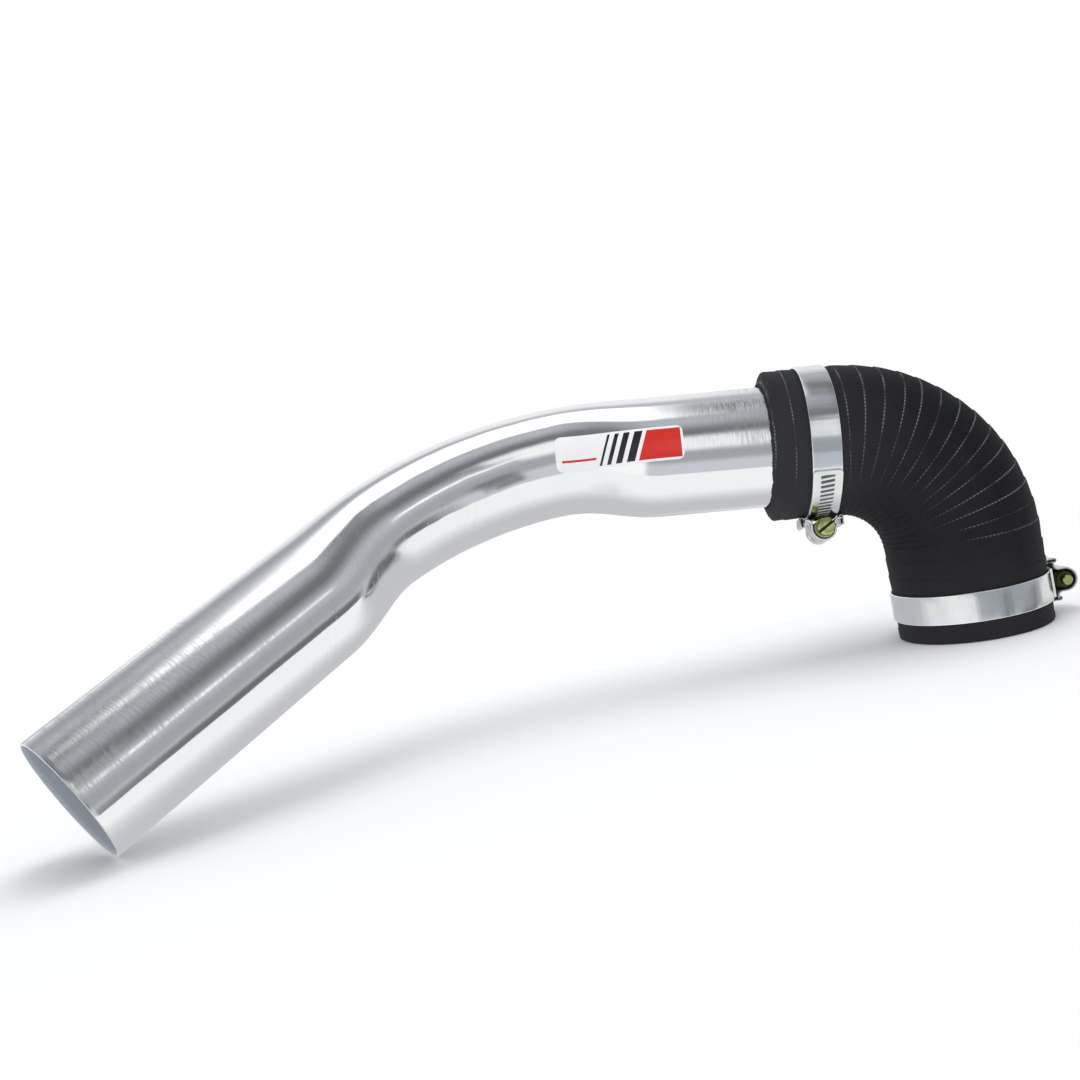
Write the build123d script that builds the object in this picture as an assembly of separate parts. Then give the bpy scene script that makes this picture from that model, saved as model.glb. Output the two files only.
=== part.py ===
from build123d import *

import os
from math import cos, degrees, pi, radians, sin

# A car air intake: a press-bent metal pipe pushed into a thick rubber elbow, with a worm-drive
# clamp at each end of the elbow. Millimetres, +Z up. The origin is the centre of the elbow's
# throttle mouth, and the elbow lies in the XZ plane.

# Intake pipe
pipe_diameter = 50.8
pipe_wall = 1.2
pipe_insertion = 26.0
outlet_straight = 64.0
bend_radius = 142.0
bend_angle = 47.5
bend_twist = 49.5
inlet_straight = 140.0
rim_chamfer = 0.3

# Crush of the press bend: the inner side is pushed in, and the tube is drawn narrower across the
# bend. The press tool takes hold of the straights too, so the crush starts before the bend
crush_depth = 8.5
outlet_lead = 18.0
inlet_lead = 30.0
crush_ramp = 44.0
crush_draw = 1.0
bend_sections = 9
ramp_sections = 8

# Label on the front of the pipe
label_length = 52.0
label_height = 14.0
label_corner = 2.6
label_thickness = 0.15
label_film_gap = 0.02
label_distance = 63.0
label_tilt = 13.0

# Rubber elbow
elbow_wall = 6.0
elbow_fit_gap = 0.1
elbow_radius = 50.5
elbow_turn = 84.0
pipe_leg = 28.0
throttle_leg = 39.0
bevel_length = 2.0
bevel_lip = 1.2

# Worm-drive clamps
band_width = 12.0
band_thickness = 0.8
band_gap = 0.05
pipe_clamp_setback = 12.5
pipe_clamp_turn = 12.0
throttle_clamp_setback = 8.0
tail_angle = 58.0
tail_tuck = 18.0
slot_pitch = 2.3
slot_length = 5.4
slot_width = 1.1
slot_depth = 0.5
slot_slant = 8.0
slot_margin = 2.5

# Clamp housing: an arch over the worm, with bent feet that end in ears folded past the band's edges
housing_length = 14.0
housing_sheet = 0.9
housing_seat_gap = 0.05
worm_clearance = 0.3
foot_bend = 1.5
ear_width = 2.0
ear_height = 4.6
ear_length = 8.0
ear_gap = 1.1
ear_clearance = 0.3

# Worm screw
worm_radius = 4.0
thread_depth = 0.8
collar_radius = 4.1
collar_length = 1.2
head_across_flats = 7.0
head_length = 4.6
head_slot_width = 1.2
head_slot_depth = 1.6
head_slot_turn = 124.0
head_edge = 0.4
tip_radius = 2.0
tip_length = 3.0
end_play = 0.3

pipe_radius = pipe_diameter / 2
elbow_bore = pipe_radius + elbow_fit_gap
elbow_outside = elbow_bore + elbow_wall
band_inside = elbow_outside + band_gap
band_outside = band_inside + band_thickness
tail_outside = band_outside + band_thickness

# Directions: along the pipe away from the elbow, down across the pipe, and into the bend
turn = radians(elbow_turn)
along = Vector(-sin(turn), 0, cos(turn))
down = Vector(-cos(turn), 0, -sin(turn))
front = Vector(0, -1, 0)
twist = radians(bend_twist)
inward = down * cos(twist) + front * sin(twist)
across = along.cross(inward)

# The elbow's bend ends here, and the pipe's mouth of the elbow is one leg further on
bend_end = Vector(-elbow_radius * (1 - cos(turn)), 0, throttle_leg + elbow_radius * sin(turn))
pipe_mouth = bend_end + along * pipe_leg

# The pipe is measured from the start of its bend: the outlet is before it, the inlet after it
bend_length = bend_radius * radians(bend_angle)
crush_start = -outlet_lead
crush_end = bend_length + inlet_lead


def pipe_plane(distance):
    """The pipe's cross-section plane at a distance along it: x across the bend, y outward."""
    angle = min(max(distance, 0.0), bend_length) / bend_radius
    start = pipe_mouth + along * outlet_straight
    centre = start + along * (bend_radius * sin(angle)) + inward * (bend_radius * (1 - cos(angle)))
    heading = along * cos(angle) + inward * sin(angle)
    past_arc = distance - angle * bend_radius
    return Plane(origin=centre + heading * past_arc, x_dir=across, z_dir=heading)


def crush_at(distance):
    """How far the inner side is pushed in: smooth ramps at both ends of the crush."""
    to_end = min(distance - crush_start, crush_end - distance)
    ramp = min(1.0, max(0.0, to_end / crush_ramp))
    return crush_depth * (1 - cos(pi * ramp)) / 2


def crush_distances():
    """Distances of the crushed sections: close together on the ramps, even between them."""
    rising = [crush_start + crush_ramp * i / ramp_sections for i in range(ramp_sections)]
    falling = [crush_end - crush_ramp * i / ramp_sections for i in reversed(range(ramp_sections))]
    first = crush_start + crush_ramp
    between = crush_end - crush_ramp - first
    middle = [first + between * i / bend_sections for i in range(bend_sections + 1)]
    return rising + middle + falling


def pipe_form(offset, overrun):
    """The pipe's outside, grown by an offset and run past both of its ends, as one solid."""
    radius = pipe_radius + offset
    sections = []
    for distance in crush_distances():
        crush = crush_at(distance)
        share = crush / crush_depth
        oval = Ellipse(radius - crush_draw * share, radius - crush / 2)
        sections.append(pipe_plane(distance) * Pos(0, crush / 2) * oval)
    bend = loft(sections)
    outlet_face = pipe_plane(crush_start) * Circle(radius)
    outlet = extrude(outlet_face, -(outlet_straight - outlet_lead + pipe_insertion + overrun))
    inlet_face = pipe_plane(crush_end) * Circle(radius)
    inlet = extrude(inlet_face, inlet_straight - inlet_lead + overrun)
    return bend + outlet + inlet


def make_pipe():
    """The bent tube: outside less bore, with both cut edges broken."""
    bore_overrun = pipe_wall
    tube = pipe_form(0, 0) - pipe_form(-pipe_wall, bore_overrun)
    inlet_end = pipe_plane(bend_length + inlet_straight)
    outlet_end = pipe_plane(-(outlet_straight + pipe_insertion))
    rims = []
    for edge in tube.edges().filter_by(GeomType.CIRCLE):
        for end in (inlet_end, outlet_end):
            if (edge.arc_center - end.origin).length < rim_chamfer:
                rims.append(edge)
    return chamfer(rims, rim_chamfer)


def make_label():
    """A film on the pipe's front: a thin shell round the pipe, trimmed to a rounded rectangle."""
    film = pipe_form(label_film_gap + label_thickness, 0) - pipe_form(label_film_gap, pipe_wall)
    tilt = radians(label_tilt)
    facing = front * cos(tilt) - down * sin(tilt)
    plane = Plane(origin=pipe_mouth + along * label_distance, x_dir=-along, z_dir=facing)
    outline = plane * RectangleRounded(label_length, label_height, label_corner)
    return film & extrude(outline, pipe_diameter)


def make_elbow():
    """The hose: a plain throttle leg, a quarter bend and a pipe leg with a bevelled end."""
    ring = Circle(elbow_outside) - Circle(elbow_bore)
    leg = extrude(Plane.XY * ring, throttle_leg)
    bend_axis = Axis((-elbow_radius, 0, throttle_leg), (0, -1, 0))
    bend = revolve(Plane.XY.offset(throttle_leg) * ring, bend_axis, elbow_turn)
    end_plane = Plane(origin=bend_end, x_dir=front, z_dir=along)
    collar = extrude(end_plane * ring, pipe_leg)
    lip = Plane(origin=pipe_mouth, x_dir=front, z_dir=along)
    bevel_profile = Polyline(
        (elbow_bore, 0),
        (elbow_outside, 0),
        (elbow_bore + bevel_lip, bevel_length),
        (elbow_bore, bevel_length),
        close=True,
    )
    bevel = revolve(Plane.XZ * make_face(bevel_profile), Axis.Z)
    return leg + bend + collar + lip * bevel


# In a clamp's own frame the ring's axis is Z, the housing is at +X, the screw lies along Y with
# its head at -Y, and the tail of the band leaves the housing on the head's side.
worm_height = tail_outside + worm_clearance + worm_radius
arch_inside = worm_radius + worm_clearance
arch_outside = arch_inside + housing_sheet
flange_base = tail_outside + housing_seat_gap
flange_top = flange_base + housing_sheet
ear_centre = band_width / 2 + ear_gap + ear_width / 2


def make_band():
    """The clamp's strip: a full ring, and a slotted tail that laps over it."""
    ring = extrude(Circle(band_outside) - Circle(band_inside), band_width / 2, both=True)
    lap = Circle(tail_outside) - Circle(band_outside)
    reach = 2 * tail_outside
    wedge = make_face(
        Polyline(
            (0, 0),
            (reach * cos(radians(tail_tuck)), reach * sin(radians(tail_tuck))),
            (reach, 0),
            (reach * cos(radians(tail_angle / 2)), -reach * sin(radians(tail_angle / 2))),
            (reach * cos(radians(tail_angle)), -reach * sin(radians(tail_angle))),
            close=True,
        )
    )
    tail = extrude(lap & wedge, band_width / 2, both=True)
    strip = ring + tail
    step = degrees(slot_pitch / tail_outside)
    first = tail_tuck - degrees(slot_margin / tail_outside)
    last = tail_angle - degrees(slot_margin / tail_outside)
    count = int((first + last) / step) + 1
    slot = Box(2 * slot_depth, slot_width, slot_length)
    for index in range(count):
        place = Rot(0, 0, first - index * step) * Pos(tail_outside, 0, 0) * Rot(slot_slant, 0, 0)
        strip -= place * slot
    return strip


def make_housing():
    """The pressed housing: an arch over the worm, bent feet, and folded ears at their outer edges."""
    top = worm_height
    with BuildSketch(Plane.XZ) as section:
        with Locations((top, 0)):
            Circle(arch_outside)
        with BuildLine():
            Polyline(
                (flange_base, -arch_outside),
                (top, -arch_outside),
                (top, arch_outside),
                (flange_base, arch_outside),
                close=True,
            )
        make_face()
        with BuildLine():
            Polyline(
                (flange_base, -ear_centre),
                (flange_top, -ear_centre),
                (flange_top, ear_centre),
                (flange_base, ear_centre),
                close=True,
            )
        make_face()
        with Locations((top, 0)):
            Circle(arch_inside, mode=Mode.SUBTRACT)
        with BuildLine():
            Polyline(
                (top - arch_outside, -arch_inside),
                (top, -arch_inside),
                (top, arch_inside),
                (top - arch_outside, arch_inside),
                close=True,
            )
        make_face(mode=Mode.SUBTRACT)
        for side in (-1, 1):
            bend_inside = (flange_top, side * arch_outside, 0)
            fillet(section.vertices().sort_by_distance(bend_inside)[0], foot_bend)
            bend_outside = (flange_base, side * arch_inside, 0)
            fillet(section.vertices().sort_by_distance(bend_outside)[0], foot_bend + housing_sheet)
    arch = extrude(section.sketch, housing_length / 2, both=True)
    fold = Plane.XZ * SlotOverall(ear_height, ear_width)
    ear = extrude(fold, ear_length / 2, both=True)
    ear_middle = elbow_outside + ear_clearance + ear_height / 2
    return arch + Pos(ear_middle, 0, -ear_centre) * ear + Pos(ear_middle, 0, ear_centre) * ear


def make_screw():
    """The worm screw: slotted hexagon head, collar, threaded worm and a plain tip."""
    half = housing_length / 2
    collar_start = half + end_play
    collar_end = collar_start + collar_length
    root = worm_radius - thread_depth
    turns = int(housing_length / slot_pitch)
    outline = [(0, -half - tip_length), (tip_radius, -half - tip_length), (tip_radius, -half)]
    outline.append((root, -half))
    lead_in = (housing_length - turns * slot_pitch) / 2
    for index in range(turns):
        base = -half + lead_in + index * slot_pitch
        outline.append((root, base))
        outline.append((worm_radius, base + slot_pitch * 0.35))
        outline.append((worm_radius, base + slot_pitch * 0.65))
    outline.append((root, half - lead_in))
    outline.append((root, collar_start))
    outline.append((collar_radius, collar_start))
    outline.append((collar_radius, collar_end))
    outline.append((0, collar_end))
    shank = revolve(Plane.XZ * make_face(Polyline(outline, close=True)), Axis.Z)
    hexagon = RegularPolygon(head_across_flats / 2, 6, major_radius=False)
    head = extrude(Plane.XY.offset(collar_end) * hexagon, head_length)
    head = chamfer(head.faces().sort_by(Axis.Z)[-1].edges(), head_edge)
    slot = Box(3 * head_across_flats, head_slot_width, 2 * head_slot_depth)
    head -= Pos(0, 0, collar_end + head_length) * slot
    return Pos(worm_height, 0, 0) * Rot(90, 0, 0) * (shank + Rot(0, 0, head_slot_turn) * head)


# Where the clamps sit on the elbow: one round the pipe leg with its housing below, turned a little
# so that its screw's head is to the front, one round the throttle leg with the head to the back
pipe_clamp_centre = pipe_mouth - along * (pipe_clamp_setback + band_width / 2)
clamp_turn = radians(pipe_clamp_turn)
pipe_clamp_side = down * cos(clamp_turn) + front * sin(clamp_turn)
pipe_clamp = Plane(origin=pipe_clamp_centre, x_dir=pipe_clamp_side, z_dir=-along)
throttle_clamp_centre = Vector(0, 0, throttle_clamp_setback + band_width / 2)
throttle_clamp = Plane(origin=throttle_clamp_centre, x_dir=(1, 0, 0), z_dir=(0, 0, -1))

pieces = {
    "intake_pipe": make_pipe(),
    "label": make_label(),
    "rubber_elbow": make_elbow(),
}
for clamp_name, place in (("pipe_clamp", pipe_clamp), ("throttle_clamp", throttle_clamp)):
    pieces[clamp_name + "_band"] = place * make_band()
    pieces[clamp_name + "_housing"] = place * make_housing()
    pieces[clamp_name + "_screw"] = place * make_screw()

os.makedirs("parts", exist_ok=True)
for node, shape in pieces.items():
    export_step(shape, f"parts/{node}.step")
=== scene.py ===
import random
from math import cos, pi, radians, sin, sqrt, tau

import bmesh
import bpy
from mathutils import Matrix, Vector, noise


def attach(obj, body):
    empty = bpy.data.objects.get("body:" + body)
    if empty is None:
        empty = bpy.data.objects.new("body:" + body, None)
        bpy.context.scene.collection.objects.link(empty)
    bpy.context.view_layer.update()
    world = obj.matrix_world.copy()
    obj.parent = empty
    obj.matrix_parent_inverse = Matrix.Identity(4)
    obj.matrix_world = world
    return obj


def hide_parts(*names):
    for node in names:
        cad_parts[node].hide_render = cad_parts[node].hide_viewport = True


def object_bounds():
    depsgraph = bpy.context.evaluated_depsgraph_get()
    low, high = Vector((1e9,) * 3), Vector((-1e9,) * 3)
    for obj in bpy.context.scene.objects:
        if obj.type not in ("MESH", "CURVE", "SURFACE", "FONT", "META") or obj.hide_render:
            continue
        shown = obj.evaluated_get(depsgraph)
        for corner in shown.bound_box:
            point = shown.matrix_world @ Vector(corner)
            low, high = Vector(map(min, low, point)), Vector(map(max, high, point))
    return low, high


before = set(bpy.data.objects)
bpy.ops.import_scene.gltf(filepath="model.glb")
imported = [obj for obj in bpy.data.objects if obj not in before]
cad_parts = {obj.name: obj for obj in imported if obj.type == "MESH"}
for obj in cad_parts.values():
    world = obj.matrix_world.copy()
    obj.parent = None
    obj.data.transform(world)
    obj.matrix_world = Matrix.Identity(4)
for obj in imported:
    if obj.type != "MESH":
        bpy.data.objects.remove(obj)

cad_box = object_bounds()

# Intake pipe. A two inch aluminium tube with a thin wall, press-bent cold, so that the inside of
# the bend is crushed flatter and steps in at both ends. It is cut square and polished on a wheel,
# which leaves fine lines round the tube. It is pushed into the rubber elbow.
mm = 0.001
pipe_radius = 25.4 * mm
pipe_wall = 1.2 * mm
pipe_insertion = 26.0 * mm
outlet_straight = 64.0 * mm
bend_radius = 142.0 * mm
bend_angle = radians(47.5)
bend_twist = radians(49.5)
inlet_straight = 140.0 * mm
rim_round = 0.3 * mm
crush_depth = 8.5 * mm
outlet_lead = 18.0 * mm
inlet_lead = 30.0 * mm
crush_ramp = 44.0 * mm
crush_draw = 1.0 * mm
handling_dents = 0.05 * mm
press_dents = 0.12 * mm
pipe_around = 192
pipe_row_step = 1.5 * mm

elbow_radius = 50.5 * mm
elbow_turn = radians(84.0)
pipe_leg = 28.0 * mm
throttle_leg = 39.0 * mm

along = Vector((-sin(elbow_turn), 0, cos(elbow_turn)))
down = Vector((-cos(elbow_turn), 0, -sin(elbow_turn)))
front = Vector((0, -1, 0))
inward = down * cos(bend_twist) + front * sin(bend_twist)
across = along.cross(inward)
elbow_bend_end = elbow_radius * Vector((cos(elbow_turn) - 1, 0, sin(elbow_turn)))
elbow_bend_end.z += throttle_leg
pipe_mouth = elbow_bend_end + along * pipe_leg
bend_start = pipe_mouth + along * outlet_straight
bend_length = bend_radius * bend_angle
outlet_end = -(outlet_straight + pipe_insertion)
inlet_end = bend_length + inlet_straight


def crush_at(distance):
    """How far the inside of the bend is pushed in, at a distance from the start of the bend."""
    to_end = min(distance + outlet_lead, bend_length + inlet_lead - distance)
    ramp = min(1.0, max(0.0, to_end / crush_ramp))
    return crush_depth * (1 - cos(pi * ramp)) / 2


def pipe_frame(distance):
    """Centre and outward direction of the pipe at a distance from the start of its bend."""
    angle = min(max(distance / bend_radius, 0.0), bend_angle)
    centre = bend_start + along * bend_radius * sin(angle) + inward * bend_radius * (1 - cos(angle))
    heading = along * cos(angle) + inward * sin(angle)
    outward = along * sin(angle) - inward * cos(angle)
    return centre + heading * (distance - angle * bend_radius), outward


def ripple(distance, angle):
    """How far the wall is dented by handling and polishing, and more where the press held it."""
    spot = Vector((cos(angle), sin(angle), distance / pipe_radius))
    dents = 0.5 + 0.5 * noise.noise(spot * 1.7) + 0.2 * noise.noise(spot * 4.3)
    return dents * (handling_dents + press_dents * crush_at(distance) / crush_depth)


def pipe_point(distance, angle, offset):
    """A point of the pipe's wall, at an angle round it and an offset from its outside."""
    centre, outward = pipe_frame(distance)
    crush = crush_at(distance)
    offset -= ripple(distance, angle)
    wide = pipe_radius + offset - crush_draw * crush / crush_depth
    tall = pipe_radius + offset - crush / 2
    return centre + across * wide * cos(angle) + outward * (crush / 2 + tall * sin(angle))


def spaced(first, last, step):
    """Evenly spaced values from first to last, about a step apart."""
    count = max(1, round(abs(last - first) / step))
    return [first + (last - first) * i / count for i in range(count + 1)]


def placed(name, data):
    """A new object in the scene."""
    made = bpy.data.objects.new(name, data)
    bpy.context.scene.collection.objects.link(made)
    return made


def smooth_piece(name, places, marks, faces):
    """A smooth mesh whose points keep a mark, which the finish reads."""
    mesh = bpy.data.meshes.new(name)
    mesh.from_pydata(places, [], faces)
    mesh.attributes.new("mark", "FLOAT_VECTOR", "POINT").data.foreach_set("vector", marks)
    mesh.polygons.foreach_set("use_smooth", [True] * len(faces))
    return placed(name, mesh)


def skin(name, shells):
    """A mesh of swept shells. A shell is its rings of points, a mark for each point and whether its
    last ring joins the first; an open shell is capped."""
    places = []
    marks = []
    faces = []
    for rings, ring_marks, joined in shells:
        base = len(places)
        around = len(rings[0])
        for ring, ring_mark in zip(rings, ring_marks):
            places.extend(ring)
            for mark in ring_mark:
                marks.extend(mark)
        for j in range(len(rings) if joined else len(rings) - 1):
            here = base + j * around
            there = base + (j + 1) % len(rings) * around
            for i in range(around):
                after = (i + 1) % around
                faces.append((here + i, here + after, there + after, there + i))
        if not joined:
            last = base + (len(rings) - 1) * around
            faces.append(tuple(reversed(range(base, base + around))))
            faces.append(tuple(range(last, last + around)))
    piece = smooth_piece(name, places, marks, faces)
    turned = bmesh.new()
    turned.from_mesh(piece.data)
    bmesh.ops.recalc_face_normals(turned, faces=turned.faces)
    turned.to_mesh(piece.data)
    turned.free()
    return piece


def swept(rows, around, point, joined=True):
    """A shell with one ring for each row: point gives a place and its mark at an angle round it."""
    rings = []
    ring_marks = []
    for row in rows:
        pairs = [point(row, tau * i / around) for i in range(around)]
        rings.append([place for place, mark in pairs])
        ring_marks.append([mark for place, mark in pairs])
    return rings, ring_marks, joined


def pipe_rows():
    """Rows along the outside of the pipe, round the inlet rim, back along the bore, and round the
    outlet rim: each is a distance and an offset."""
    inside = -pipe_wall
    outside = spaced(outlet_end + rim_round, inlet_end - rim_round, pipe_row_step)
    rows = [(distance, 0.0) for distance in outside]
    quarter = [radians(30), radians(60), radians(90)]
    rounds = [(rim_round * (1 - sin(turn)), rim_round * (1 - cos(turn))) for turn in quarter]
    rim = [(back, -drop) for back, drop in rounds]
    rim += [(back, inside + drop) for back, drop in reversed(rounds)]
    rows += [(inlet_end - back, offset) for back, offset in rim]
    rows += [(distance, inside) for distance in reversed(outside[::2])]
    rows += [(outlet_end + back, offset) for back, offset in reversed(rim)]
    return rows


def pipe_skin(row, angle):
    """One point of the pipe's skin and its place on the straightened tube."""
    distance, offset = row
    radius = pipe_radius + offset
    return pipe_point(distance, angle, offset), (radius * cos(angle), radius * sin(angle), distance)


class Shade:
    """A shader socket that can stand in a sum: each operator adds the Math node it needs."""

    def __init__(self, tree, socket=None):
        self.tree = tree
        self.socket = socket

    def node(self, kind, settings, inputs, output=0):
        """A node of a type, with its settings made first and then its sockets filled or linked."""
        made = self.tree.nodes.new(kind)
        for name, setting in settings.items():
            if name == "stops":
                elements = made.color_ramp.elements
                while len(elements) < len(setting):
                    elements.new(0.5)
                for element, (place, colour) in zip(elements, setting):
                    element.position = place
                    element.color = colour
            else:
                setattr(made, name, setting)
        for name, entry in inputs.items():
            if isinstance(entry, Shade):
                self.tree.links.new(entry.socket, made.inputs[name])
            else:
                made.inputs[name].default_value = entry
        return Shade(self.tree, made.outputs[output])

    def other(self, output):
        """Another output of the same node."""
        return Shade(self.tree, self.socket.node.outputs[output])

    def maths(self, operation, first, second=0.0):
        return self.node("ShaderNodeMath", {"operation": operation}, {0: first, 1: second})

    def __add__(self, value):
        return self.maths("ADD", self, value)

    def __sub__(self, value):
        return self.maths("SUBTRACT", self, value)

    def __rsub__(self, value):
        return self.maths("SUBTRACT", value, self)

    def __mul__(self, value):
        return self.maths("MULTIPLY", self, value)

    def __truediv__(self, value):
        return self.maths("DIVIDE", self, value)

    def __abs__(self):
        return self.maths("ABSOLUTE", self)

    __radd__ = __add__
    __rmul__ = __mul__

    def step(self, low, high):
        """0 below the low value, 1 above the high one, and a smooth rise between them."""
        settings = {"interpolation_type": "SMOOTHSTEP"}
        inputs = {"Value": self, "From Min": low, "From Max": high}
        return self.node("ShaderNodeMapRange", settings, inputs)

    def dot(self, direction):
        settings = {"operation": "DOT_PRODUCT"}
        return self.node("ShaderNodeVectorMath", settings, {0: self, 1: direction}, "Value")

    def stretch(self, scales):
        return self.node("ShaderNodeVectorMath", {"operation": "MULTIPLY"}, {0: self, 1: scales})

    def grain(self, scale, detail=2.0, roughness=0.5):
        """Soft noise over this vector, from 0 to 1."""
        inputs = {"Vector": self, "Scale": scale, "Detail": detail, "Roughness": roughness}
        return self.node("ShaderNodeTexNoise", {}, inputs)

    def between(self, first, second):
        """A colour between two colours, with this value as the share of the second."""
        settings = {"data_type": "RGBA"}
        return self.node("ShaderNodeMix", settings, {0: self, 6: first, 7: second}, 2)


class Finish:
    """A material with its surface shader, and a start for its nodes."""

    def __init__(self, name):
        self.material = bpy.data.materials.new(name)
        self.material.use_nodes = True
        tree = self.material.node_tree
        self.surface = tree.nodes["Principled BSDF"]
        self.start = Shade(tree)

    def mark(self):
        """The mark that the mesh keeps for each point, as a vector."""
        return self.start.node("ShaderNodeAttribute", {"attribute_name": "mark"}, {}, "Vector")

    def parts(self, vector):
        """The three values of a vector."""
        split = self.start.node("ShaderNodeSeparateXYZ", {}, {0: vector})
        return split, split.other("Y"), split.other("Z")

    def bump(self, height, distance, strength):
        inputs = {"Height": height, "Distance": distance, "Strength": strength}
        return self.start.node("ShaderNodeBump", {}, inputs)

    def give(self, **sockets):
        """Fills or links the surface shader's sockets, named with _ for a space."""
        for name, entry in sockets.items():
            socket = self.surface.inputs[name.replace("_", " ")]
            if isinstance(entry, Shade):
                self.start.tree.links.new(entry.socket, socket)
            else:
                socket.default_value = entry


def polished_aluminium():
    """Bright aluminium: fine wheel lines round the tube, hazy strokes on top near the ends, a few
    stray scratches, a duller crease where the wheel can't reach, and a bore as it left the mill."""
    finish = Finish("polished_aluminium")
    place = finish.mark()
    x, y, distance = finish.parts(place)
    angle = finish.start.maths("ARCTAN2", y, x)
    round_pipe = {0: angle * pipe_radius, 1: distance}
    unrolled = finish.start.node("ShaderNodeCombineXYZ", {}, round_pipe)
    wheel_lines = unrolled.stretch((110.0, 2300.0, 1.0)).grain(1.0, 3.0, 0.6)
    strokes = unrolled.stretch((120.0, 1000.0, 1.0)).grain(1.0, 4.0, 0.7).step(0.36, 0.66)
    clouds = place.grain(45.0, 3.0, 0.55)
    reach = finish.start.maths("SQRT", x * x + y * y)
    bore = 1 - reach.step(pipe_radius - 0.9 * pipe_wall, pipe_radius - 0.6 * pipe_wall)
    inputs = {"Vector": unrolled, "Angle": radians(24)}
    slant = finish.start.node("ShaderNodeVectorRotate", {}, inputs)
    scratches = slant.stretch((55.0, 2300.0, 1.0)).grain(1.0, 1.0).step(0.66, 0.73)
    handled = distance.step(0.35 * bend_length, 0.8 * bend_length)
    handled = handled * (1 - distance.step(bend_length + 20 * mm, bend_length + 70 * mm))
    scratches = scratches * (0.25 + handled * 0.75)
    top_side = ((x * sin(bend_twist) + y * cos(bend_twist)) / pipe_radius).step(-0.2, 0.2)
    near_inlet = distance.step(bend_length + 5 * mm, bend_length + 95 * mm)
    near_outlet = 1 - distance.step(-62 * mm, -18 * mm)
    hazy = top_side * (0.12 + (near_inlet + near_outlet) * 0.88)
    hazy = hazy * (0.35 + clouds.step(0.30, 0.62) * 0.65)
    crease = distance.step(bend_length - 24 * mm, bend_length - 4 * mm)
    crease = crease * (1 - distance.step(bend_length + 8 * mm, bend_length + 26 * mm))
    crease = crease * (y / pipe_radius * -1.0).step(0.0, 0.7)
    mirror = 0.055
    roughness = mirror + wheel_lines * 0.03 + hazy * (0.07 + strokes * 0.22)
    roughness = roughness + scratches * 0.2 + crease * 0.13
    relief = wheel_lines * 0.3 + hazy * strokes * 2.5 + clouds * 2.0 - scratches * 2.0
    relief_depth = 0.004 * mm
    bright = (0.94, 0.945, 0.95, 1)
    dull = (0.62, 0.635, 0.655, 1)
    mill_grey = (0.58, 0.62, 0.67, 1)
    dullness = clouds * 0.12 + hazy * (0.25 + strokes * 0.45) + scratches * 0.4
    outside = dullness.between(bright, dull)
    finish.give(
        Base_Color=bore.between(outside, mill_grey),
        Metallic=1.0 - bore * 0.75,
        Roughness=roughness + bore * 0.4,
        Normal=finish.bump(relief, relief_depth, 0.8),
    )
    return finish.material


pipe = skin("intake_pipe_skin", [swept(pipe_rows(), pipe_around, pipe_skin)])
pipe.data.materials.append(polished_aluminium())
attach(pipe, "intake")
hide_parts("intake_pipe")

# Label. A printed plastic film, stuck on the front of the pipe where the straight ends. It is a
# rounded rectangle with a glossy face, and it follows the pipe's curve.
label_length = 52.0 * mm
label_height = 14.0 * mm
label_corner = 2.6 * mm
label_thickness = 0.15 * mm
label_film_gap = 0.02 * mm
label_distance = 63.0 * mm
label_tilt = radians(13.0)
label_columns = 105
label_rows = 33
label_search = 40
label_facing = front * cos(label_tilt) - down * sin(label_tilt)
label_centre = pipe_mouth + along * label_distance
label_up = label_facing.cross(-along)


def outside_pipe(point, offset):
    """Above 0 outside the pipe grown by an offset, 0 on its skin."""
    from_axis = point - bend_start - inward * bend_radius
    ahead = from_axis.dot(along)
    if ahead <= 0:
        distance = ahead
        height = -from_axis.dot(inward) - bend_radius
    else:
        swing = Vector((-from_axis.dot(inward), ahead))
        distance = bend_radius * swing.angle_signed(Vector((1, 0)))
        height = sqrt(ahead ** 2 + from_axis.dot(inward) ** 2) - bend_radius
    crush = crush_at(distance)
    wide = pipe_radius + offset - crush_draw * crush / crush_depth
    tall = pipe_radius + offset - crush / 2
    return (from_axis.dot(across) / wide) ** 2 + ((height - crush / 2) / tall) ** 2 - 1


def drop_on_pipe(point, offset):
    """The point of the pipe's skin, grown by an offset, in front of a point of its middle plane."""
    near = 0.0
    far = 2 * pipe_radius
    for _ in range(label_search):
        middle = (near + far) / 2
        if outside_pipe(point + label_facing * middle, offset) < 0:
            near = middle
        else:
            far = middle
    return point + label_facing * near


def make_label():
    """Two skins of the film, joined round their edges."""
    places = []
    marks = []
    for offset in (label_film_gap, label_film_gap + label_thickness):
        for j in range(label_rows):
            height = -cos(pi * j / (label_rows - 1)) * label_height / 2
            into_corner = max(0.0, abs(height) - (label_height / 2 - label_corner))
            half = label_length / 2 - label_corner
            half += sqrt(max(0.0, label_corner ** 2 - into_corner ** 2))
            for i in range(label_columns):
                side = half * (2 * i / (label_columns - 1) - 1)
                places.append(drop_on_pipe(label_centre - along * side + label_up * height, offset))
                marks.extend((side, height, 0.0))
    top = label_rows * label_columns
    faces = []
    for j in range(label_rows - 1):
        for i in range(label_columns - 1):
            a = j * label_columns + i
            b = a + label_columns
            faces.append((a, b, b + 1, a + 1))
            faces.append((top + a, top + a + 1, top + b + 1, top + b))
    last_row = top - label_columns
    border = list(range(label_columns - 1))
    border += range(label_columns - 1, top - 1, label_columns)
    border += range(top - 1, last_row, -1)
    border += range(last_row, 0, -label_columns)
    for a, b in zip(border, border[1:] + border[:1]):
        faces.append((a, b, top + b, top + a))
    piece = smooth_piece("label_film", places, marks, faces)
    piece.data.set_sharp_from_angle(angle=radians(40))
    return piece


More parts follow.
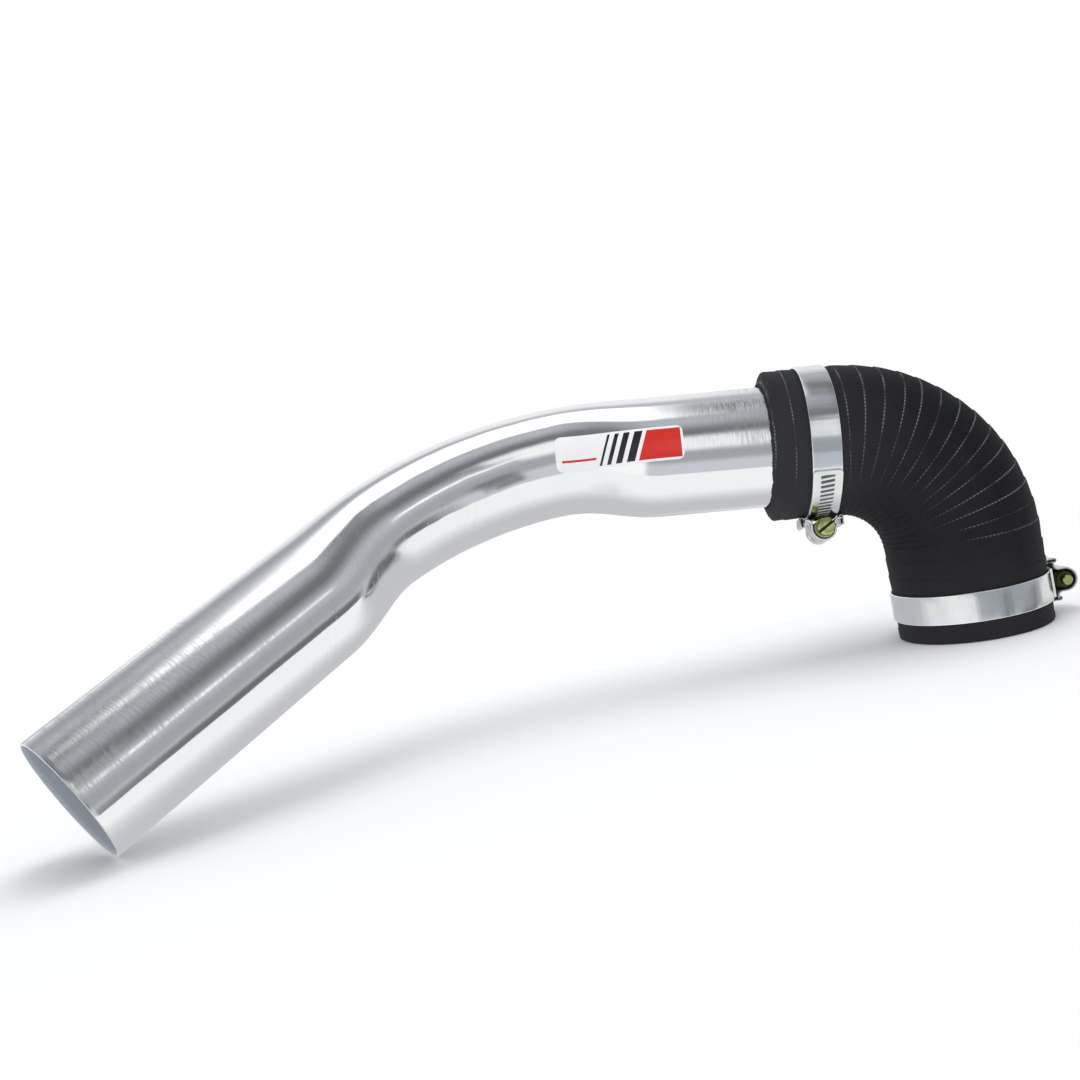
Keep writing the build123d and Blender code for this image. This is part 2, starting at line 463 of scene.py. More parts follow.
def printed_film():
    """White film with plain fields: a red end cut at a slant, dark bars and a thin red line."""
    finish = Finish("printed_film")
    mark = finish.mark()
    side, height, _ = finish.parts(mark)
    margin = 0.9 * mm
    edge = 0.08 * mm
    lean = 0.35
    leaning = side - height * lean
    inside_rows = (height + label_height / 2 - margin).step(0, edge)
    inside_rows = inside_rows * (label_height / 2 - margin - height).step(0, edge)
    inside = inside_rows * (label_length / 2 - margin - side).step(0, edge)
    red_start = 9.5 * mm
    red = inside * (leaning - red_start).step(0, edge)
    bars = 0.0
    for start, wide in ((4.6, 3.4), (0.2, 2.6), (-3.4, 1.8), (-6.4, 1.1)):
        bar = (leaning - start * mm).step(0, edge) * ((start + wide) * mm - leaning).step(0, edge)
        bars = bars + bar
    dark = inside * bars
    line_height = -3.6 * mm
    line_wide = 1.0 * mm
    line_margin = 2.4 * mm
    line_end = -8.4 * mm
    line = (height - line_height).step(0, edge) * (line_height + line_wide - height).step(0, edge)
    line = line * (side + label_length / 2 - line_margin).step(0, edge)
    line = line * (line_end - leaning).step(0, edge)
    smudge = mark.grain(260.0, 3.0)
    white = smudge.between((0.93, 0.93, 0.93, 1), (0.97, 0.97, 0.975, 1))
    ink = smudge.between((0.62, 0.018, 0.012, 1), (0.74, 0.03, 0.02, 1))
    black = smudge.between((0.012, 0.012, 0.014, 1), (0.025, 0.025, 0.028, 1))
    colour = dark.between((red + line).between(white, ink), black)
    finish.give(
        Base_Color=colour,
        Roughness=0.16 + smudge * 0.12,
        Normal=finish.bump(smudge, 0.01 * mm, 0.3),
    )
    return finish.material


label = make_label()
label.data.materials.append(printed_film())
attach(label, "intake")
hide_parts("label")

# Rubber elbow. A thick hose moulded on a bent former and cured under a wrap of cloth tape, which
# leaves its weave and a low step at each turn. The pipe's end is cut at a slant and ragged, the
# throttle's end is square.
elbow_bore = 25.5 * mm
elbow_outside = 31.5 * mm
bevel_length = 2.0 * mm
bevel_lip = 1.2 * mm
edge_round = 0.5 * mm
lip_round = 0.25 * mm
wrap_step = 0.34 * mm
wrap_drop = 0.07
wrap_inset = 0.6
wrap_fade = 3.0 * mm
leg_tape = 7.6 * mm
bend_tape = 5.5 * mm
first_tape = -4.0 * mm
spare_tape = 10.0 * mm
close_lead = 4.0 * mm
tape_lean = 1.0 * mm
lean_turn = 0.6
tape_waver = 0.15 * mm
waver_length = 9.0 * mm
torn_length = 0.35 * mm
torn_depth = 0.3 * mm
hose_waver = 0.12 * mm
elbow_around = 216
elbow_row_step = 0.42 * mm
bore_row_step = 3.0 * mm
elbow_bend_length = elbow_radius * elbow_turn
elbow_length = throttle_leg + elbow_bend_length + pipe_leg


def wrap_edges():
    """Where the turns of tape begin along the hose: wide apart on the legs, closer in the bend."""
    draw = random.Random(11)
    edges = [first_tape]
    while edges[-1] < elbow_length + spare_tape:
        in_bend = throttle_leg - close_lead < edges[-1] < throttle_leg + elbow_bend_length
        step = bend_tape if in_bend else leg_tape
        edges.append(edges[-1] + step * draw.uniform(0.9, 1.1))
    return edges


tape_edges = wrap_edges()


def tape_turn(distance, angle):
    """How many turns of tape lie before a point of the hose. The turns lean a little."""
    leaning = distance + tape_lean * sin(angle + lean_turn)
    leaning += tape_waver * sin(3 * angle + distance / waver_length)
    index = 0
    while index < len(tape_edges) - 2 and tape_edges[index + 1] < leaning:
        index += 1
    return index + (leaning - tape_edges[index]) / (tape_edges[index + 1] - tape_edges[index])


def elbow_frame(distance):
    """Centre and outward direction of the hose at a distance from its throttle mouth."""
    angle = min(max((distance - throttle_leg) / elbow_radius, 0.0), elbow_turn)
    centre = Vector((-elbow_radius * (1 - cos(angle)), 0, throttle_leg + elbow_radius * sin(angle)))
    heading = Vector((-sin(angle), 0, cos(angle)))
    centre += heading * (distance - throttle_leg - angle * elbow_radius)
    return centre, Vector((cos(angle), 0, sin(angle)))


def elbow_rows():
    """Rows along the outside, over the bevelled end, back along the bore and round the mouth."""
    rows = []
    for turn in (radians(90), radians(67.5), radians(45), radians(22.5)):
        rows.append((edge_round * (1 - sin(turn)), elbow_outside - edge_round * (1 - cos(turn))))
    outside = spaced(edge_round, elbow_length - edge_round, elbow_row_step)
    rows += [(distance, elbow_outside) for distance in outside]
    lip_end = elbow_length + bevel_length
    for share in (0.0, 0.12, 0.3, 0.5, 0.7, 0.88, 1.0):
        radius = elbow_outside + (elbow_bore + bevel_lip - elbow_outside) * share
        rows.append((elbow_length + bevel_length * share, radius - lip_round))
    rows.append((lip_end, elbow_bore + lip_round))
    for distance in reversed(spaced(edge_round, lip_end - edge_round, bore_row_step)):
        rows.append((distance, elbow_bore))
    rows.append((0.0, elbow_bore + edge_round))
    return rows


def elbow_skin(row, angle):
    """One point of the hose: steps of tape outside, a torn edge at the bevelled end."""
    distance, radius = row
    centre, outward = elbow_frame(min(distance, elbow_length))
    heading = Vector((-outward.z, 0, outward.x))
    centre = centre + heading * max(0.0, distance - elbow_length)
    turn = tape_turn(distance, angle)
    if radius >= elbow_outside - edge_round and distance <= elbow_length:
        share = turn % 1.0
        rise = share / (1 - wrap_drop) if share < 1 - wrap_drop else (1 - share) / wrap_drop
        fade = min(1.0, distance / wrap_fade)
        radius += wrap_step * (rise - wrap_inset) * fade
    spot = Vector((cos(angle), sin(angle), distance / pipe_radius))
    if distance > elbow_length:
        ragged = noise.noise(spot * 9.0) + 0.6 * noise.noise(spot * 31.0)
        centre = centre + heading * ragged * torn_length
        radius += ragged * torn_depth
    else:
        radius += hose_waver * noise.noise(spot * 2.2)
    radius = max(radius, elbow_bore)
    place = centre + outward * radius * cos(angle) + front * radius * sin(angle)
    return place, (angle, turn, distance)


def wrapped_rubber():
    """Charcoal rubber with the tape's print: a fine weave and pale broken lines at its edges,
    painted shade on the bend's outer side and painted light towards both ends.
    """
    finish = Finish("wrapped_rubber")
    mark = finish.mark()
    angle, turn, distance = finish.parts(mark)
    maths = finish.start.maths
    share = maths("FRACT", turn)
    threads_around = 236
    thread = 0.6 * mm
    weft = maths("SINE", angle * threads_around)
    warp = maths("SINE", distance * (tau / thread))
    weave = weft * 0.7 + warp * 0.3
    place = finish.start.node("ShaderNodeTexCoord", {}, {}, "Object")
    patches = place.grain(60.0, 4.0, 0.6)
    specks = place.grain(900.0, 2.0, 0.6)
    at_edge = share.step(0.90, 0.945) * (1 - share.step(0.975, 1.0))
    stitches = maths("SINE", angle * threads_around * 0.5).step(-0.6, 0.4)
    outer = maths("COSINE", angle).step(-0.75, 0.1)
    from_mouth = distance.step(30 * mm, 52 * mm)
    # The pale lines fade on the inner side of the bend as painted shade, and in random worn
    # patches.
    worn_and_shaded = (0.15 + place.grain(75.0, 3.0).step(0.36, 0.60) * 0.85) * outer * from_mouth
    line = at_edge * (0.25 + stitches * 0.75) * worn_and_shaded
    # Painted light: lighter from the middle of the bend to the pipe's end, and near the throttle
    # mouth.
    lit_ends = distance.step(throttle_leg + 0.5 * elbow_bend_length, elbow_length)
    lit_ends = lit_ends + (1 - distance.step(4 * mm, 48 * mm)) * 0.5
    # Painted shade: darker on the outer side of the bend.
    shaded_outer_side = maths("COSINE", angle).step(-0.2, 0.9)
    tone = patches * 0.40 + weave * 0.16 + lit_ends * 0.6 + specks * 0.15 - shaded_outer_side * 0.22
    dark_rubber = (0.0045, 0.0047, 0.0062, 1)
    pale_rubber = (0.034, 0.0345, 0.039, 1)
    pale_thread = (0.165, 0.17, 0.18, 1)
    weave_depth = 0.09 * mm
    finish.give(
        Base_Color=line.between(tone.between(dark_rubber, pale_rubber), pale_thread),
        Roughness=0.60 + patches * 0.25,
        Specular_IOR_Level=0.2,
        Normal=finish.bump(weave * 0.8 + specks * 1.2 + line, weave_depth, 0.8),
    )
    return finish.material


elbow = skin("rubber_elbow_skin", [swept(elbow_rows(), elbow_around, elbow_skin)])
elbow.data.materials.append(wrapped_rubber())
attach(elbow, "intake")
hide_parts("rubber_elbow")

# Clamp bands. Strips of zinc-plated steel with rounded edges, closed in a ring round the elbow. The
# tail laps over the ring, with slanted teeth pressed into it for the worm, and ends square.
band_width = 12.0 * mm
band_thickness = 0.8 * mm
band_gap = 0.05 * mm
band_inside = elbow_outside + band_gap
band_outside = band_inside + band_thickness
tail_outside = band_outside + band_thickness
band_edge = 0.3 * mm
pipe_clamp_setback = 12.5 * mm
pipe_clamp_turn = radians(12)
throttle_clamp_setback = 8.0 * mm
tail_angle = radians(58)
tail_tuck = radians(18)
tail_corner = 1.2 * mm
slot_pitch = 2.3 * mm
slot_length = 5.4 * mm
slot_width = 1.1 * mm
slot_depth = 0.5 * mm
slot_slant = radians(8)
slot_margin = 2.5 * mm
slot_flank = 0.24 * mm
slot_end = 0.3 * mm
slot_spread = 0.02
tail_gap = 0.02 * mm
tail_step = 0.15 * mm
tail_columns = 44
band_columns = 4
band_around = 240

pipe_clamp_centre = pipe_mouth - along * (pipe_clamp_setback + band_width / 2)
throttle_clamp_centre = Vector((0, 0, throttle_clamp_setback + band_width / 2))
pipe_clamp_side = down * cos(pipe_clamp_turn) + front * sin(pipe_clamp_turn)
throttle_clamp_side = Vector((1, 0, 0))
below = Vector((0, 0, -1))


def standing(x, y, z, origin):
    """The matrix that places a piece with these axes at this origin."""
    matrix = Matrix((x, y, z)).transposed().to_4x4()
    matrix.translation = origin
    return matrix


pipe_clamp_over = pipe_clamp_side.cross(along)
clamp_places = {
    "pipe_clamp": standing(pipe_clamp_side, pipe_clamp_over, -along, pipe_clamp_centre),
    "throttle_clamp": standing(throttle_clamp_side, front, below, throttle_clamp_centre),
}


def rounded_section(low, high, half_width, edge, columns):
    """A loop round a strip's section: radius and place across, with its four edges rounded. The
    outer side has the given number of columns."""
    flat = half_width - edge
    quarter = [radians(15), radians(45), radians(75)]
    rounds = [(edge * (1 - cos(turn)), flat + edge * sin(turn)) for turn in quarter]
    end = [(high - drop, out) for drop, out in rounds]
    end += [(low + drop, out) for drop, out in reversed(rounds)]
    loop = [(high, share * flat) for share in spaced(-1.0, 1.0, 2.0 / columns)] + end
    loop += [(low, share * flat) for share in spaced(1.0, -1.0, 0.5)]
    return loop + [(radius, -out) for radius, out in reversed(end)]


def tooth_depth(arc, side):
    """How deep the tail is pressed in, at an arc from its first tooth and a place across it."""
    shifted = arc - side * sin(slot_slant)
    off = abs((shifted / slot_pitch + 0.5) % 1.0 - 0.5) * slot_pitch
    groove = min(1.0, max(0.0, (slot_width / 2 - off) / slot_flank + 0.5))
    ends = min(1.0, max(0.0, (slot_length / 2 - abs(side)) / slot_end + 0.5))
    return slot_depth * groove * ends


def band_shells(place):
    """The ring and the tail that laps over it."""

    def at(radius, angle, side):
        return place @ Vector((radius * cos(angle), radius * sin(angle), side))

    def ring_point(row, angle):
        return at(row[0], angle, row[1]), (angle * band_outside, row[1], 0.0)

    section = rounded_section(band_inside, band_outside, band_width / 2, band_edge, band_columns)
    ring = swept(section, band_around, ring_point)
    rings = []
    ring_marks = []
    tooth_start = tail_tuck - slot_margin / tail_outside
    first_tooth = tooth_start + slot_spread
    last_tooth = -tail_angle + slot_margin / tail_outside - slot_spread
    for angle in spaced(tail_tuck, -tail_angle, tail_step / tail_outside):
        to_end = (angle + tail_angle) * tail_outside
        into_corner = max(0.0, tail_corner - to_end)
        half = band_width / 2 - tail_corner
        half += sqrt(max(0.0, tail_corner ** 2 - into_corner ** 2))
        loop = rounded_section(band_outside + tail_gap, tail_outside, half, band_edge, tail_columns)
        points = []
        marks = []
        for radius, side in loop:
            pressed = 0.0
            if radius == tail_outside and last_tooth < angle < first_tooth:
                pressed = tooth_depth((tooth_start - angle) * tail_outside, side)
            points.append(at(radius - pressed, angle, side))
            # The third mark is the tooth's depth, which the finish turns into painted shade in the
            # teeth.
            marks.append((angle * tail_outside, side, pressed / slot_depth))
        rings.append(points)
        ring_marks.append(marks)
    return [ring, (rings, ring_marks, False)]


def zinc_plate(name, half_width, blue, warm, rough, line_depth, wavy, grimy):
    """Bright zinc on rolled steel: lines along the strip and shallow waves across it, cool and
    faintly yellow patches, a painted highlight along the edges, grime in spots, and painted shade
    in whatever is pressed in and on the inner side of a sheet."""
    finish = Finish(name)
    mark = finish.mark()
    _, over_strip, pressed = finish.parts(mark)
    # Painted shade: the mark's third value darkens the pressed teeth and the inner side of a sheet.
    painted_shade = pressed.step(0.25, 0.9)
    edge = abs(over_strip).step(half_width - 0.6 * mm, half_width - 0.25 * mm)
    place = finish.start.node("ShaderNodeTexCoord", {}, {}, "Object")
    lines = mark.stretch((60.0, 4200.0, 0.0)).grain(1.0, 3.0, 0.6)
    clouds = place.grain(130.0, 3.0, 0.6)
    stains = place.grain(55.0, 2.0).step(0.50, 0.72)
    waves = mark.stretch((170.0, 12.0, 0.0)).grain(1.0, 2.0, 0.5)
    grime = place.grain(380.0, 3.0, 0.6).step(0.46, 0.66) * (1 - edge) * grimy
    cloudy = (0.70, 0.72, 0.74, 1)
    # A painted highlight: both edges of the strip get a lighter colour.
    painted_edge_highlight = (0.96, 0.97, 0.98, 1)
    grime_grey = (0.13, 0.13, 0.12, 1)
    painted_shade_black = (0.03, 0.032, 0.034, 1)
    plate = (stains * 0.7).between(clouds.between(blue, cloudy), warm)
    plate = grime.between(edge.between(plate, painted_edge_highlight), grime_grey)
    finish.give(
        Base_Color=(painted_shade * 0.9).between(plate, painted_shade_black),
        Metallic=1.0 - painted_shade * 0.8,
        Roughness=rough + clouds * 0.08 + lines * 0.10 + painted_shade * 0.4,
        Normal=finish.bump(lines + clouds * 0.8 + waves * wavy, line_depth, 0.5),
    )
    return finish.material


band_zinc = zinc_plate(
    "zinc_band", band_width / 2, blue=(0.84, 0.88, 0.91, 1), warm=(0.80, 0.82, 0.74, 1),
    rough=0.10, line_depth=0.010 * mm, wavy=45.0, grimy=0.0,
)
for clamp, clamp_place in clamp_places.items():
    band = skin(clamp + "_strip", band_shells(clamp_place))
    band.data.set_sharp_from_angle(angle=radians(50))
    band.data.materials.append(band_zinc)
    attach(band, "intake")
    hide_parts(clamp + "_band")

# Clamp housings. Each is pressed from one strip of zinc-plated sheet: an arch over the worm and
# bent feet on the band. A saddle below is folded over the feet, and shows as an ear on each side.
housing_length = 14.0 * mm
housing_sheet = 0.9 * mm
worm_radius = 4.0 * mm
worm_clearance = 0.3 * mm
foot_bend = 1.5 * mm
ear_width = 2.0 * mm
ear_height = 4.6 * mm
ear_length = 8.0 * mm
ear_gap = 1.1 * mm
ear_clearance = 0.3 * mm
ear_sheet = 0.75 * mm
sheet_edge = 0.22 * mm
sheet_shade = 0.8
sheet_columns = 6
arch_step = radians(6)
foot_step = radians(10)
ear_step = radians(15)
worm_height = tail_outside + worm_clearance + worm_radius
foot_height = tail_outside + band_gap + housing_sheet / 2
arch_radius = worm_radius + worm_clearance + housing_sheet / 2
bend_middle = foot_bend + housing_sheet / 2
ear_centre = band_width / 2 + ear_gap + ear_width / 2
ear_middle = elbow_outside + ear_clearance + ear_height / 2


def housing_path():
    """The middle of the sheet from one foot over the arch to the other: height, place across, and
    the direction that faces out of the sheet."""
    half = []
    for turn in spaced(0, pi / 2, arch_step):
        half.append((worm_height + arch_radius * cos(turn), arch_radius * sin(turn), turn))
    for turn in spaced(pi / 2, 0, foot_step):
        height = foot_height + bend_middle * (1 - cos(turn))
        half.append((height, arch_radius + bend_middle * (1 - sin(turn)), turn))
    half.append((foot_height, ear_centre - ear_width / 2 + ear_sheet / 2, 0.0))
    return [(height, -side, -turn) for height, side, turn in reversed(half[1:])] + half


def ear_path(side):
    """The middle of the sheet round a saddle's folded ear."""
    bend = (ear_width - ear_sheet) / 2
    reach = ear_height / 2 - ear_width / 2
    path = []
    for first, last, rise in ((-pi / 2, pi / 2, reach), (pi / 2, 3 * pi / 2, -reach)):
        for turn in spaced(first, last, ear_step):
            height = ear_middle + rise + bend * cos(turn)
            path.append((height, side * (ear_centre + bend * sin(turn)), side * turn))
    return path if side > 0 else path[::-1]


def sheet_shell(place, path, thickness, length, joined=False):
    """A sheet swept along a path, marked for painted shade on its inner side."""
    section = rounded_section(-thickness / 2, thickness / 2, length / 2, sheet_edge, sheet_columns)
    rings = []
    ring_marks = []
    run = 0.0
    last = None
    for height, side, turn in path:
        spot = Vector((height, 0, side))
        run += (spot - last).length if last else 0.0
        last = spot
        out = Vector((cos(turn), 0, sin(turn)))
        points = [spot + out * depth + Vector((0, -reach, 0)) for depth, reach in section]
        rings.append([place @ point for point in points])
        # The inner side of the sheet is marked for painted shade.
        marks = [(run, reach, sheet_shade if depth < 0 else 0.0) for depth, reach in section]
        ring_marks.append(marks)
    return rings, ring_marks, joined


def housing_shells(place):
    """The arch with its feet, and an ear on each side."""
    shells = [sheet_shell(place, housing_path(), housing_sheet, housing_length)]
    for side in (-1, 1):
        shells.append(sheet_shell(place, ear_path(side), ear_sheet, ear_length, joined=True))
    return shells


housing_zinc = zinc_plate(
    "zinc_housing", housing_length / 2, blue=(0.74, 0.77, 0.80, 1), warm=(0.72, 0.72, 0.64, 1),
    rough=0.08, line_depth=0.006 * mm, wavy=0.0, grimy=0.75,
)
for clamp, clamp_place in clamp_places.items():
    housing = skin(clamp + "_arch", housing_shells(clamp_place))
    housing.data.set_sharp_from_angle(angle=radians(50))
    housing.data.materials.append(housing_zinc)
    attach(housing, "intake")
    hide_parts(clamp + "_housing")

# Worm screws. Steel screws with yellow zinc: a slotted hexagon head, a collar, a coarse worm whose
# thread drives the band's teeth, and a plain tip that turns in the far end of the housing.
thread_depth = 0.8 * mm
collar_radius = 4.1 * mm
collar_length = 1.2 * mm
collar_edge = 0.15 * mm
head_across_flats = 7.0 * mm
head_length = 4.6 * mm
head_slot_width = 1.2 * mm
head_slot_depth = 1.6 * mm
head_slot_turn = radians(124)
head_edge = 0.4 * mm
head_overlap = 0.02 * mm
chamfer_out = 0.25 * mm
chamfer_in = 0.2 * mm
flats_shade = 0.65
tip_radius = 2.0 * mm
tip_length = 3.0 * mm
tip_edge = 0.3 * mm
unshaded_tip = 0.8 * mm
end_play = 0.3 * mm
thread_end = 0.1 * mm
thread_step = 0.14 * mm
thread_run_out = 1.2 * mm
crest_height = 1.9
flank_slope = 5.2
screw_around = 60
collar_start = housing_length / 2 + end_play
collar_end = collar_start + collar_length
head_face = collar_end + head_length
slot_floor = head_face - head_slot_depth


def screw_at(place, out, angle, reach):
    """A point of a screw: out from its axis at an angle, and a reach towards its head."""
    return place @ Vector((worm_height + out * cos(angle), -reach, out * sin(angle)))


def shank_shell(place):
    """The tip, the worm with its thread marked for painted shade, and the collar, in order towards
    the head.
    """
    half = housing_length / 2
    root = worm_radius - thread_depth
    tip_end = -half - tip_length
    rows = [(tip_end, tip_radius - tip_edge), (tip_end + tip_edge, tip_radius)]
    rows += [(tip_end + 3 * tip_edge, tip_radius), (-half, tip_radius)]
    rows += [(-half + thread_end / 2, root)]
    rows += [(reach, None) for reach in spaced(thread_end - half, half - thread_end, thread_step)]
    rows += [(half, root), (collar_start, root), (collar_start, collar_radius - collar_edge)]
    rows += [(collar_start + collar_edge, collar_radius), (collar_end - collar_edge, collar_radius)]
    rows += [(collar_end, collar_radius - collar_edge)]

    def point(row, angle):
        reach, radius = row
        if radius is None:
            share = (reach / slot_pitch - angle / tau) % 1.0
            crest = min(1.0, max(0.0, crest_height - abs(share - 0.5) * flank_slope))
            fade = min(1.0, (half - abs(reach)) / thread_run_out)
            radius = root + thread_depth * crest * fade
        # The worm inside the housing is marked for painted shade. The tip is left bright.
        in_shade = 1.0 if tip_end + unshaded_tip < reach < collar_start else 0.0
        return screw_at(place, radius, angle, reach), (angle * root, reach, in_shade)

    return swept(rows, screw_around, point, joined=False)


def head_shell(place):
    """The hexagon head with its face chamfered to a circle."""
    start = collar_end - head_overlap
    face = start + head_length
    flat = head_across_flats / 2

    def point(row, angle):
        reach, limit = row
        from_flat = (angle - head_slot_turn + pi / 6) % (pi / 3) - pi / 6
        radius = min(flat / cos(from_flat), limit)
        return screw_at(place, radius, angle, reach), (angle * radius, reach, 0.0)

    corner = flat / cos(pi / 6)
    rows = [(start, corner), (face - 2 * head_edge, corner), (face - head_edge, flat + chamfer_out)]
    rows += [(face - 0.3 * head_edge, flat - chamfer_in), (face, flat - head_edge)]
    return swept(rows, screw_around, point, joined=False)


def slot_cutter(place):
    """A bar as wide and deep as the driver slot, across the face of the head."""
    half_width = head_slot_width / 2
    corners = []
    for reach in (slot_floor, head_face + head_slot_depth):
        ring = []
        for out, side in ((-1, -1), (1, -1), (1, 1), (-1, 1)):
            far = out * head_across_flats
            height = far * cos(head_slot_turn) - side * half_width * sin(head_slot_turn)
            level = far * sin(head_slot_turn) + side * half_width * cos(head_slot_turn)
            ring.append(place @ Vector((worm_height + height, -reach, level)))
        corners.append(ring)
    unmarked = [(0.0, 0.0, 0.0)] * 4
    return corners, [unmarked, unmarked], False


def slotted_head(name, place):
    """The head with its slot cut, as a plain mesh, marked for painted shade in the slot and on its
    flats.
    """
    head = skin(name, [head_shell(place)])
    cutter = skin(name + "_cutter", [slot_cutter(place)])
    cut = head.modifiers.new("slot", "BOOLEAN")
    cut.object = cutter
    cut.operation = "DIFFERENCE"
    cut.solver = "EXACT"
    bpy.context.view_layer.update()
    scene_graph = bpy.context.evaluated_depsgraph_get()
    mesh = bpy.data.meshes.new_from_object(head.evaluated_get(scene_graph))
    for spare in (head, cutter):
        bpy.data.objects.remove(spare)
    to_local = place.inverted()
    for vertex, mark in zip(mesh.vertices, mesh.attributes["mark"].data):
        spot = to_local @ vertex.co
        off = spot.z * cos(head_slot_turn) - (spot.x - worm_height) * sin(head_slot_turn)
        in_slot = abs(off) < 0.55 * head_slot_width and abs(-spot.y - slot_floor) < 0.05 * mm
        on_flats = -spot.y < head_face - 0.6 * head_edge
        # The slot and the flats are marked for painted shade.
        mark.vector = (0.0, -spot.y, 1.0 if in_slot else flats_shade if on_flats else 0.0)
    return mesh


def yellow_zinc():
    """Steel with a greenish yellow zinc coat, a little dull, and painted shade on the worm, in the
    head's slot and on its flats.
    """
    finish = Finish("yellow_zinc")
    _, _, shade_mark = finish.parts(finish.mark())
    # Painted shade: darker on the worm, in the slot and on the head's flats.
    painted_shade = shade_mark.step(0.3, 0.9)
    place = finish.start.node("ShaderNodeTexCoord", {}, {}, "Object")
    clouds = place.grain(420.0, 3.0, 0.6)
    pits = place.grain(2600.0, 2.0)
    gold = clouds.between((0.48, 0.55, 0.14, 1), (0.78, 0.80, 0.40, 1))
    painted_shade_olive = (0.03, 0.035, 0.01, 1)
    finish.give(
        Base_Color=(painted_shade * 0.9).between(gold, painted_shade_olive),
        Metallic=1.0,
        Roughness=0.2 + clouds * 0.16 + painted_shade * 0.3,
        Normal=finish.bump(pits + clouds, 0.01 * mm, 0.5),
    )
    return finish.material


screw_zinc = yellow_zinc()
for clamp, clamp_place in clamp_places.items():
    screw = skin(clamp + "_worm_screw", [shank_shell(clamp_place)])
    joined = bmesh.new()
    joined.from_mesh(screw.data)
    joined.from_mesh(slotted_head(clamp + "_head", clamp_place))
    joined.to_mesh(screw.data)
    joined.free()
    screw.data.set_sharp_from_angle(angle=radians(32))
    screw.data.materials.append(screw_zinc)
    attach(screw, clamp + "_worm")
    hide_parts(clamp + "_screw")

# Camera. A normal lens, half a metre from the pipe and level with it. It is rolled a little, so
# that the pipe rises to the right as on a table.
camera_place = Vector((-153.68, -502.77, 105.67)) * mm
camera_forward = Vector((-0.04211, 0.99688, -0.06672)).normalized()
camera_up = Vector((0.19289, 0.07363, 0.97845)).normalized()
camera_right = camera_forward.cross(camera_up)
camera_data = bpy.data.cameras.new("camera")
camera_data.lens = 39.3
camera_data.sensor_width = 36.0
camera_data.clip_start = 0.01
camera = placed("camera", camera_data)
camera.matrix_world = standing(camera_right, camera_up, -camera_forward, camera_place)
bpy.context.scene.camera = camera

# Studio. White paper under the part, a tall soft box above it, and a grey room on the camera's
# side, which the polished pipe shows between the soft box and the paper. The room's directions are
# the camera's right, and the back and up of a table that the camera looks down on.
middle = (cad_box[0] + cad_box[1]) / 2
table_pitch = radians(28)
table_right = camera_right
table_back = camera_forward * cos(table_pitch) + camera_up * sin(table_pitch)
table_up = camera_up * cos(table_pitch) - camera_forward * sin(table_pitch)


def table_way(azimuth, elevation):
    """A direction in the studio: degrees round from the camera's side to the right, and up."""
    turn = radians(azimuth)
    rise = radians(elevation)
    level = table_right * sin(turn) - table_back * cos(turn)
    return level * cos(rise) + table_up * sin(rise)


box_way = table_way(-165, 60)
box_level = (table_right - box_way * table_right.dot(box_way)).normalized()
box_rise = box_way.cross(box_level)
box_distance = 0.9
box_width = 0.36
box_length = 0.66
box_power = 2.7


